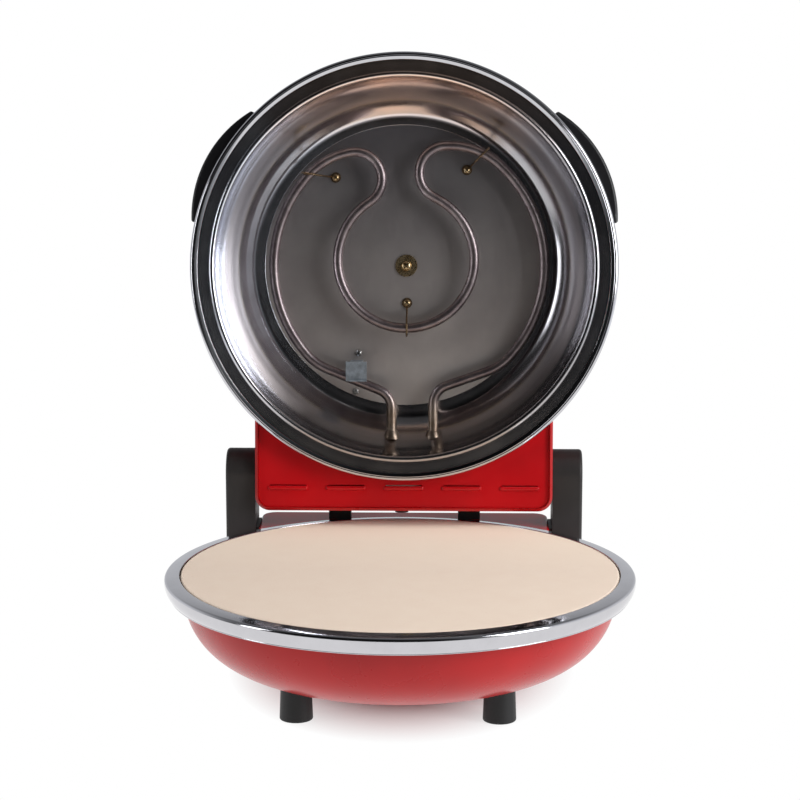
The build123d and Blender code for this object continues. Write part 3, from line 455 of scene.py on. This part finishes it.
def moulding_finish(name, tone, rough, texture, depth=0.02, streak=0.0):
    """Moulded plastic with a fine eroded texture."""
    f = Finish(name, Specular_IOR_Level=0.45)
    fine, broad = f.noise(texture, 3, 0.6), f.noise(25, 3, 0.5)
    light = tuple(c * 1.35 for c in srgb(*tone))
    f.colour(f.blend(f.span(broad, 0.35, 0.7), srgb(*tone), light))
    wear_and_painted_side_light = f.noise(5, 4, 0.6, f.mapped((1, 1, 0.08)))
    f.rough(f.span(f.blend(streak, fine, wear_and_painted_side_light), 0.3, 0.7, rough - 0.07, rough + 0.09))
    f.bump((broad, 0.05), (fine, depth))
    return f.material


def metal_finish(name, tone, rough, grain, spread, metallic=1.0, patina=None):
    """Small metal parts: clouded colour, uneven polish."""
    f = Finish(name, Metallic=metallic)
    cloud, fine = f.noise(grain * 6, 4, 0.6), f.noise(grain, 3, 0.6)
    duller = patina or tuple(int(c * 0.82) for c in tone)
    f.colour(f.blend(f.span(cloud, 0.35, 0.65), srgb(*tone), srgb(*duller)))
    f.rough(f.span(fine, 0.3, 0.7, rough, rough + spread))
    f.bump((cloud, 0.004), (fine, 0.001))
    return f.material


def soft_finish(name, tone, other, size, depth):
    """Felt, ceramic, braided sleeve and print: two-tone grain with relief."""
    f = Finish(name, Roughness=0.9)
    grain, cloud = f.noise(size, 4, 0.7), f.noise(size * 12, 3, 0.6)
    f.colour(f.blend(f.span(f.blend(0.4, grain, cloud), 0.35, 0.65), srgb(*tone), srgb(*other)))
    f.rough(f.span(grain, 0.3, 0.7, 0.7, 0.95))
    f.bump((cloud, depth), (grain, depth))
    return f.material


def lens_finish(name, tone):
    """A pilot lamp's cloudy plastic lens."""
    f = Finish(name, Coat_Weight=0.5, Coat_Roughness=0.05, Subsurface_Weight=0.25)
    f.shader.inputs["Subsurface Radius"].default_value = (0.002, 0.001, 0.001)
    cloud = f.noise(3, 3, 0.5)
    f.colour(f.blend(f.span(cloud, 0.35, 0.65), srgb(*tone), tuple(c * 0.75 for c in srgb(*tone))))
    f.rough(f.span(cloud, 0.3, 0.7, 0.08, 0.16))
    f.bump((f.noise(1.2, 2, 0.5), 0.02))
    return f.material


STONE = stone_finish()
ENAMEL = enamel_finish("red_enamel", (186, 20, 22), 0.26, 0.006)
ENAMEL_PANEL = enamel_finish("red_pressed_cover", (198, 6, 18), 0.30, 0.004)
ENAMEL_LEDGE = enamel_finish("red_ledge", (180, 10, 18), 0.14, 0.004, 0.04, 0.05)
CHROME = chrome_finish("chrome_ring", ON_BASE)
BAND_CHROME = chrome_finish("chrome_band", ON_LID)
REFLECTOR = reflector_finish()
CEILING = ceiling_finish()
SHEATH = sheath_finish()
CHARCOAL = moulding_finish("charcoal_moulding", (38, 35, 34), 0.50, 0.6, 0.02, 0.55)
BLACK = moulding_finish("black_moulding", (15, 14, 16), 0.38, 0.7, 0.02)
GLOSS_BLACK = moulding_finish("black_gloss_moulding", (14, 14, 15), 0.18, 1.5, 0.004)
RUBBER = moulding_finish("foot_rubber", (13, 12, 13), 0.5, 0.5, 0.02)
BRASS = metal_finish("brass_hardware", (206, 184, 146), 0.22, 1.0, 0.14, 1.0, (168, 142, 102))
WIRE = metal_finish("clip_wire", (128, 106, 80), 0.34, 0.8, 0.15, 1.0, (96, 82, 66))
ZINC = metal_finish("zinc_hardware", (190, 190, 188), 0.26, 1.0, 0.16)
TAB = metal_finish("sensor_sheet", (206, 216, 226), 0.30, 1.0, 0.12, 0.9)
TRAY = metal_finish("steel_tray", (196, 196, 198), 0.28, 2.0, 0.12)
ZINC_SHEET = metal_finish("galvanised_cover", (168, 171, 174), 0.36, 4.0, 0.16, 0.9, (146, 150, 154))
FELT = soft_finish("insulation_felt", (226, 222, 206), (205, 198, 178), 0.5, 0.25)
CERAMIC = soft_finish("terminal_ceramic", (228, 224, 212), (214, 208, 194), 0.6, 0.03)
SLEEVE = soft_finish("wire_sleeve", (216, 208, 186), (190, 180, 152), 0.35, 0.06)
LAMP_RED = lens_finish("lamp_red", (196, 22, 14))
LAMP_GREEN = lens_finish("lamp_green", (40, 150, 60))
CASE = moulding_finish("control_case", (62, 58, 54), 0.5, 0.8)
INK = soft_finish("dial_print", (232, 232, 228), (222, 222, 216), 0.3, 0.002)

BY_SLOT = {
    "cordierite_stone": STONE, "chromed_trim": CHROME, "red_enamel": ENAMEL, "cover_sheet": ENAMEL_PANEL,
    "bright_reflector": REFLECTOR, "dark_ceiling": CEILING, "heater_sheath": SHEATH, "steel_tray": TRAY,
    "galvanised_cover": ZINC_SHEET, "charcoal_moulding": CHARCOAL, "black_moulding": BLACK,
    "black_gloss_moulding": GLOSS_BLACK, "brass_hardware": BRASS, "zinc_hardware": ZINC, "clip_wire": WIRE,
    "sensor_sheet": TAB, "insulation_felt": FELT, "terminal_ceramic": CERAMIC, "foot_rubber": RUBBER,
    "lamp_red": LAMP_RED, "lamp_green": LAMP_GREEN, "wire_sleeve": SLEEVE, "control_case": CASE,
}
OWN_FINISH = {"base_rear_housing": ENAMEL_LEDGE}
SLOT_OF = {s["node"]: s["material_slot"] for s in frame["record"]["subparts"]}
for name, node in NODES.items():
    node.data.materials.clear()
    node.data.materials.append(OWN_FINISH.get(name) or BY_SLOT[SLOT_OF[name]])
    for polygon in node.data.polygons:
        polygon.material_index = 0

# ---------------------------------------------------------------- base
stone_outline = rounded([(0, -STONE_T), (STONE_R, -STONE_T), (STONE_R, 0), (0, 0)], [0, 1.0, 1.6, 0])
settle(lathe("stone_disc", stone_outline, ON_BASE, STONE), "base", "cordierite_stone", "pizza_stone")

# The ring's sheet: a lip round the stone, a crest, a skirt down to its hem, and the inner side back up.
RING_SHOULDER, SKIRT_FOOT, HEM = (RING_R, -3.1), (173.2, -13.2), (172.2, -13.6)
SKIRT_INSIDE, CREST_INSIDE = (175.5, -5.4), (172.2, -2.0)
lip = [(RING_IN_R + 1, -STONE_T), (RING_IN_R, -STONE_T), (RING_IN_R, 0), RING_CREST]
ring_outline = rounded(lip, [0.1, 0.1, 0.7, 0], 6, False)
ring_outline += arc(RING_CREST, (176.1, -1.8), RING_SHOULDER, 14)[1:]
ring_outline += arc(RING_SHOULDER, (175.9, -8.9), SKIRT_FOOT, 14)[1:]
ring_outline += arc(SKIRT_FOOT, (172.9, -14.0), HEM, 8)[1:]
ring_outline += arc(HEM, (174.6, -9.3), SKIRT_INSIDE, 10)[1:]
ring_outline += arc(SKIRT_INSIDE, (174.6, -3.2), CREST_INSIDE, 8)[1:]
ring_outline.append((RING_IN_R + 1, -1.3))
settle(lathe("rim_ring", ring_outline, ON_BASE, CHROME, 360), "base", "chromed_trim", "base_rim_ring")

BOWL_C, BOWL_ACROSS, BOWL_DEEP = (BOWL_FLAT_R, BOWL_TOP), BOWL_R - BOWL_FLAT_R, BOWL_TOP - BOWL_BOTTOM
bowl_outline = ellipse(BOWL_C, BOWL_ACROSS, BOWL_DEEP, -90, 0, 48)
bowl_outline += [(FLANGE_R, BOWL_TOP), (FLANGE_R, BOWL_TOP + SKIN), (BOWL_R - SKIN, BOWL_TOP + SKIN)]
bowl_outline += ellipse(BOWL_C, BOWL_ACROSS - SKIN, BOWL_DEEP - SKIN, 0, -90, 30)
bowl_outline += [(0, BOWL_BOTTOM + SKIN), (0, BOWL_BOTTOM)]


def vent_rim(degrees):
    """A vent slot's outline, a bar with round ends along the bowl's radius, turned to its place."""
    end_r = VENT_WIDE / 2
    reach = VENT_LONG / 2 - end_r
    outline = []
    for side, start in ((1, -90), (-1, 90)):
        steps = [math.radians(start + 15 * k) for k in range(13)]
        outline += [(VENT_AT + side * reach + end_r * math.cos(t), end_r * math.sin(t)) for t in steps]
    c, s = math.cos(math.radians(degrees)), math.sin(math.radians(degrees))
    return [(x * c - y * s, x * s + y * c) for x, y in outline]


painted_bowl = lathe("painted_bowl", bowl_outline, ON_BASE, ENAMEL, 320)
vent_places = [360 / VENTS * (k + 0.5) for k in range(VENTS)]
vents = joined([prism(vent_rim(place), BOWL_BOTTOM - 5, BOWL_BOTTOM + 7) for place in vent_places])
pierce(painted_bowl, vents, ON_BASE)
settle(painted_bowl, "base", "red_enamel", "base_bowl")

# ---------------------------------------------------------------- lid
# The band's sheet: a flat lip with a crease, a roll over the rim, and a straight wall hemmed at the top.
ROLL_START, ROLL_END = (168.5, 0.95), (BAND_R, 4.4)
lip = [(BAND_IN_R, LID_RIM_Z + 1), (BAND_IN_R, LID_RIM_Z), (167.4, 0.9), (167.9, 1.15), ROLL_START]
band_outline = rounded(lip, [0, 0.2, 0.35, 0.3, 0], 5, False)
band_outline += quarter(ROLL_START, (170.8, 1.3), ROLL_END, 14)[1:]
back = [ROLL_END, (BAND_R, BAND_TOP), (169.7, BAND_TOP), (169.7, BAND_TOP - 1), (170.0, BAND_TOP - 1)]
back += [(170.0, 4.6), (167.6, LID_RIM_Z + 1), (BAND_IN_R, LID_RIM_Z + 1)]
band_outline += rounded(back, [0, 0.7, 0.2, 0, 0, 0.3, 0.2, 0], 5, False)[1:-1]
settle(lathe("rim_band", band_outline, ON_LID, BAND_CHROME, 360), "lid", "chromed_trim", "lid_rim_band")

# The reflector's sheet: the bowed wall, a rounded crease, the step to the ceiling, the same again on
# the sheet's back, and at the mouth a bead and a flange.
WALL_ACROSS = MOUTH_R - REFLECTOR_C[0]
crease_deg = math.degrees(math.acos((CREASE_R - REFLECTOR_C[0]) / WALL_ACROSS))
wall = ellipse(REFLECTOR_C, WALL_ACROSS, REFLECTOR_RISE, 0, crease_deg, 60)
wall_back = ellipse(REFLECTOR_C, WALL_ACROSS + SHEET, REFLECTOR_RISE + SHEET, crease_deg, 0, 60)
step = quarter(wall[-1], (122.8, CEILING_Z), (CREASE_IN_R, CEILING_Z), 20)
inner_edge = [(CREASE_IN_R, CEILING_Z), (CEILING_R, CEILING_Z), (CEILING_R, CEILING_Z + 1)]
inner_edge.append((0, CEILING_Z + 1))
step += rounded(inner_edge, [0, 0.3, 0.1, 0], 4, False)[1:]
step_back = [(0, CEILING_Z + 1 + SHEET), (CEILING_R + SHEET, CEILING_Z + 1 + SHEET)]
step_back.append((CEILING_R + SHEET, CEILING_Z + SHEET))
step_back += quarter((CREASE_IN_R, CEILING_Z + SHEET), (123.2, CEILING_Z + SHEET), wall_back[0], 12)[:-1]
bead = arc((BEAD_R + 2.4, LID_RIM_Z), (BEAD_R, LID_RIM_Z - 1.1), (MOUTH_R, REFLECTOR_C[1]), 14)
bead_end = (BEAD_R + 2.2, LID_RIM_Z + SHEET)
bead_back = arc((MOUTH_R + SHEET, REFLECTOR_C[1]), (BEAD_R, LID_RIM_Z - 0.3), bead_end, 10)
flange = [bead_end, (BAND_IN_R - 0.2, LID_RIM_Z + SHEET), (BAND_IN_R - 0.2, LID_RIM_Z)]
reflector_outline = wall + step[1:] + step_back + wall_back[:-1] + bead_back[:-1] + flange + bead[:-1]
spun_reflector = lathe("spun_reflector", reflector_outline, ON_LID, REFLECTOR, 360, 50)
settle(spun_reflector, "lid", "bright_reflector", "lid_reflector")

collar = rounded([(4.0, 134.2), (4.7, 134.0), (6.6, 138.6), (6.6, 141.0), (4.0, 141.0)], [0, 0.4, 0.6, 0, 0])
collars = [about_y(x, UPPER_Z, lathe_data(collar, 64)) for x in LEG_X]
settle(new_piece("leg_collars", *joined(collars), ON_LID, SHEATH), "lid", "heater_sheath")


def cross_depth(x, y, head_r):
    """How deep a screw head's cross recess is at a place: 0 outside it, 1 on its floor."""
    half_long, half_wide = 0.62 * head_r, 0.17 * head_r
    u, v = (x + y) * math.sqrt(0.5), (x - y) * math.sqrt(0.5)
    arms = [
        min(1, (half_long - abs(p)) / 0.25) * min(1, (half_wide - abs(q)) / 0.12)
        for p, q in ((u, v), (v, u))
        if abs(p) < half_long and abs(q) < half_wide
    ]
    return max(arms, default=0)


def cross_screw(x, y, seat, head_r, head_h, tip):
    """A round screw head that faces down from its seat, with a cross recess, and a shank up to the tip."""
    rings, spokes = 22, 72
    verts = [(x, y, seat - head_h * 0.35)]
    for i in range(1, rings + 1):
        r = head_r * i / rings
        crown = head_h * math.sqrt(max(0.0, 1 - (r / head_r) ** 2.6))
        for px, py in circle(0, 0, r, spokes):
            verts.append((x + px, y + py, seat - crown + cross_depth(px, py, head_r) * head_h * 0.6))
    faces = [[0, 1 + k, 1 + (k + 1) % spokes] for k in range(spokes)]
    for i in range(rings - 1):
        a, b = 1 + i * spokes, 1 + (i + 1) * spokes
        faces += [[a + k, b + k, b + (k + 1) % spokes, a + (k + 1) % spokes] for k in range(spokes)]
    faces.append(list(range(len(verts) - spokes, len(verts))))
    return joined([(verts, faces), prism(circle(x, y, SHANK_R, 18), seat, tip)])


def screw_group(name, screws, finish, slot, node):
    settle(new_piece(name, *joined(screws), ON_LID, finish), "lid", slot, node)


clip_screws = [cross_screw(x, y, CEILING_Z - 1, 3.0, 2.6, CEILING_Z + 6) for x, y in CLIP_SCREW_AT]
screw_group("clip_cross_screws", clip_screws, BRASS, "brass_hardware", "clip_screws")
sensor_screws = [cross_screw(x, y, CEILING_Z, 2.7, 2.4, CEILING_Z + 5) for x, y in SENSOR_SCREW_AT]
screw_group("sensor_cross_screws", sensor_screws, ZINC, "zinc_hardware", "sensor_screws")
centre_screw = cross_screw(*CENTRE_AT, CEILING_Z - 1.2, 4.2, 3.0, CEILING_Z + 12)
screw_group("centre_cross_screw", [centre_screw], BRASS, "brass_hardware", "centre_screw")


# ---------------------------------------------------------------- dials
def bar(start, end, width, z0, z1):
    """A low bar with bevelled edges between two points, standing on z0."""
    (x0, y0), (x1, y1) = start, end
    length = math.dist(start, end)
    ux, uy = (x1 - x0) / length, (y1 - y0) / length
    verts = []
    for z, inset in ((z0, 0), (z1 - 0.06, 0), (z1, 0.12)):
        for along, side in ((inset, -1), (length - inset, -1), (length - inset, 1), (inset, 1)):
            off = side * (width / 2 - inset)
            verts.append((x0 + ux * along - uy * off, y0 + uy * along + ux * off, z))
    faces = [[0, 3, 2, 1], [8, 9, 10, 11]]
    faces += [[a + k, a + (k + 1) % 4, a + 4 + (k + 1) % 4, a + 4 + k] for a in (0, 4) for k in range(4)]
    return verts, faces


def dial_label(text, x, y):
    """Plain raised figures lying on the panel, as (vertices, faces)."""
    words = bpy.data.curves.new(text, "FONT")
    words.body, words.size, words.extrude = text, 4.0, 0.04
    words.align_x, words.align_y = "CENTER", "CENTER"
    words.resolution_u = 4
    holder = bpy.data.objects.new(text, words)
    bpy.context.scene.collection.objects.link(holder)
    shape = as_mesh(holder)
    verts = [(x + v.co.x, y + v.co.y, PANEL_TOP + 0.06 + v.co.z) for v in shape.vertices]
    faces = [list(p.vertices) for p in shape.polygons]
    bpy.data.objects.remove(holder)
    return verts, faces


def at_dial(x, radius, degrees):
    """A point round a knob's axis."""
    t = math.radians(degrees)
    return x + radius * math.cos(t), KNOB_Y + radius * math.sin(t)


def dial_scale(x, sweep, labels):
    """Marks round a knob from its first label to its last, three short ones between labels."""
    steps = 4 * (len(labels) - 1)
    shapes = []
    for k in range(steps + 1):
        turn = 90 - sweep / 2 + sweep * k / steps
        outer_r, width = (22.8, 0.35) if k % 4 else (23.8, 0.55)
        ends = at_dial(x, 21.6, turn), at_dial(x, outer_r, turn)
        shapes.append(bar(*ends, width, PANEL_TOP, PANEL_TOP + 0.1))
        if k % 4 == 0:
            shapes.append(dial_label(labels[k // 4], *at_dial(x, 26.8, turn)))
    return shapes


marks = [shape for _, x, sweep, labels in DIALS for shape in dial_scale(x, sweep, labels)]
settle(new_piece("dial_marks", *joined(marks), ON_LID, INK), "lid", "control_case")
for body, x, sweep, _ in DIALS:
    ends = [at_dial(x, radius, 90 - sweep / 2) for radius in (4.0, 12.6)]
    pointer = new_piece(body + "_pointer", *bar(*ends, 1.3, KNOB_TOP, KNOB_TOP + 0.18), ON_LID, INK)
    settle(pointer, body, "control_case")

# ---------------------------------------------------------------- dome
DOME_C, DOME_ACROSS, DOME_RISE = (DOME_FLAT_R, BAND_TOP), DOME_R - DOME_FLAT_R, DOME_TOP - BAND_TOP
dome_outline = [(DOME_R, DOME_HEM)] + ellipse(DOME_C, DOME_ACROSS, DOME_RISE, 0, 90, 56)
dome_outline += [(0, DOME_TOP), (0, DOME_TOP - SKIN)]
dome_outline += ellipse(DOME_C, DOME_ACROSS - SKIN, DOME_RISE - SKIN, 90, 0, 40) + [(DOME_R - SKIN, DOME_HEM)]
lid_shell = lathe("lid_shell", dome_outline, ON_LID, ENAMEL, 320)
hole_rims = [circle(x, KNOB_Y, SPINDLE_HOLE_R, 48) for x in (-KNOB_X, KNOB_X)]
pierce(lid_shell, joined([prism(rim, CEILING_Z + 2, PANEL_TOP) for rim in hole_rims]), ON_LID)
settle(lid_shell, "lid", "red_enamel", "lid_dome")

# ---------------------------------------------------------------- stage
FLOOR_R = 900.0
# Shadows show in an oval round the feet, given by its half sizes and its middle in metres from the
# base's axis; past it the floor glows white.
SHADE_X, SHADE_Y, SHADE_MIDDLE_Y = 0.135, 0.195, 0.065
on_floor = Matrix.Translation((0, -FRAME_Y * MM, 0))
floor_finish = Finish("pale_floor", on_floor, Specular_IOR_Level=0.3, Roughness=0.55)
floor_finish.colour(floor_finish.ramp(floor_finish.noise(400, 2), [(0.3, 0.88), (0.7, 0.90)]))
glow = floor_finish.node("Emission")
glow.inputs["Color"].default_value = (1, 1, 1, 1)
glow.inputs["Strength"].default_value = 1.0
oval = floor_finish.mapped((1 / SHADE_X, 1 / SHADE_Y, 0), (0, -SHADE_MIDDLE_Y / SHADE_Y, 0))
reach = floor_finish.node("VectorMath", operation="LENGTH")
floor_finish.link(oval, reach.inputs[0])
lit = floor_finish.node("MixShader")
floor_finish.link(floor_finish.span(reach.outputs["Value"], 0.52, 1.0), lit.inputs["Fac"])
floor_finish.link(floor_finish.shader.outputs[0], lit.inputs[1])
floor_finish.link(glow.outputs[0], lit.inputs[2])
floor_finish.link(lit.outputs[0], floor_finish.tree.nodes["Material Output"].inputs["Surface"])
corners = [(x, y, 0) for x, y in circle(0, -FRAME_Y, FLOOR_R, 96)]
floor = new_piece("floor", corners, [list(range(len(corners)))], Matrix.Identity(4), floor_finish.material)


def look_at(thing, place):
    """Turn a camera or a lamp to face a place."""
    thing.rotation_mode = "QUATERNION"
    thing.rotation_quaternion = (Vector(place) - thing.location).to_track_quat("-Z", "Y")


def softbox(name, at, look, size, power, tint=(1, 1, 1)):
    data = bpy.data.lights.new(name, "AREA")
    data.shape = "RECTANGLE"
    data.size, data.size_y = size
    data.energy = power
    data.color = tint
    lamp = bpy.data.objects.new(name, data)
    bpy.context.scene.collection.objects.link(lamp)
    lamp.location = at
    look_at(lamp, look)
    lamp.visible_camera = False
    return lamp


top_box = softbox("top_box", (0.3, -0.25, 1.8), (0, 0, 0.1), (1.2, 0.9), 17)
top_box.visible_glossy = False
softbox("left_box", (-1.55, -0.62, 0.5), (0, 0, 0.2), (0.35, 0.9), 4, (0.95, 0.97, 1))
softbox("right_box", (1.5, -0.9, 0.8), (0, 0, 0.2), (0.8, 1.3), 24, (0.96, 0.98, 1))

world = bpy.data.worlds.new("studio")
bpy.context.scene.world = world
world.use_nodes = True
tree = world.node_tree
tree.nodes.clear()


def world_node(kind, **settings):
    made = tree.nodes.new("ShaderNode" + kind)
    for key, value in settings.items():
        setattr(made, key, value)
    return made


def world_span(value, low, high, to_low, to_high):
    made = world_node("MapRange", interpolation_type="SMOOTHSTEP")
    for key, v in zip(("From Min", "From Max", "To Min", "To Max"), (low, high, to_low, to_high)):
        made.inputs[key].default_value = v
    tree.links.new(value, made.inputs["Value"])
    return made.outputs["Result"]


def world_math(kind, a, b):
    made = world_node("Math", operation=kind)
    tree.links.new(a, made.inputs[0])
    tree.links.new(b, made.inputs[1])
    return made.outputs[0]


# The room: dark behind the camera, bright at the sides and behind, dimmer overhead, lit from below.
direction = world_node("TexCoord").outputs["Generated"]
away = world_node("VectorMath", operation="DOT_PRODUCT")
away.inputs[1].default_value = (0.40, 0.917, 0.0)
tree.links.new(direction, away.inputs[0])
parts = world_node("SeparateXYZ")
tree.links.new(direction, parts.inputs[0])
from_front = world_span(away.outputs["Value"], -0.70, 0.20, 0.012, 0.85)
behind = world_span(parts.outputs["Y"], 0.55, 0.95, 1.0, 0.78)
overhead = world_span(parts.outputs["Z"], 0.10, 0.8, 1.0, 0.20)
from_floor = world_span(parts.outputs["Z"], -0.45, 0.0, 0.45, 0.0)
walls = world_math("MULTIPLY", world_math("MULTIPLY", from_front, overhead), behind)
studio, backdrop = world_node("Background"), world_node("Background")
studio.inputs["Color"].default_value = (0.94, 0.96, 1.0, 1)
tree.links.new(world_math("ADD", walls, from_floor), studio.inputs["Strength"])
backdrop.inputs["Color"].default_value = (1, 1, 1, 1)
backdrop.inputs["Strength"].default_value = 1.0
chosen = world_node("MixShader")
tree.links.new(world_node("LightPath").outputs["Is Camera Ray"], chosen.inputs["Fac"])
tree.links.new(studio.outputs[0], chosen.inputs[1])
tree.links.new(backdrop.outputs[0], chosen.inputs[2])
tree.links.new(chosen.outputs[0], world_node("OutputWorld").inputs["Surface"])

bpy.context.scene.view_settings.view_transform = "Standard"

# ---------------------------------------------------------------- camera
camera = bpy.data.objects.new("camera", bpy.data.cameras.new("camera"))
bpy.context.scene.collection.objects.link(camera)
bpy.context.scene.camera = camera
camera.data.lens = 109.86
camera.data.sensor_width = 36.0
camera.location = (0.03684, -1.81250, 0.56583)
look_at(camera, (0, -FRAME_Y * MM, 0.2221))

bpy.context.view_layer.update()
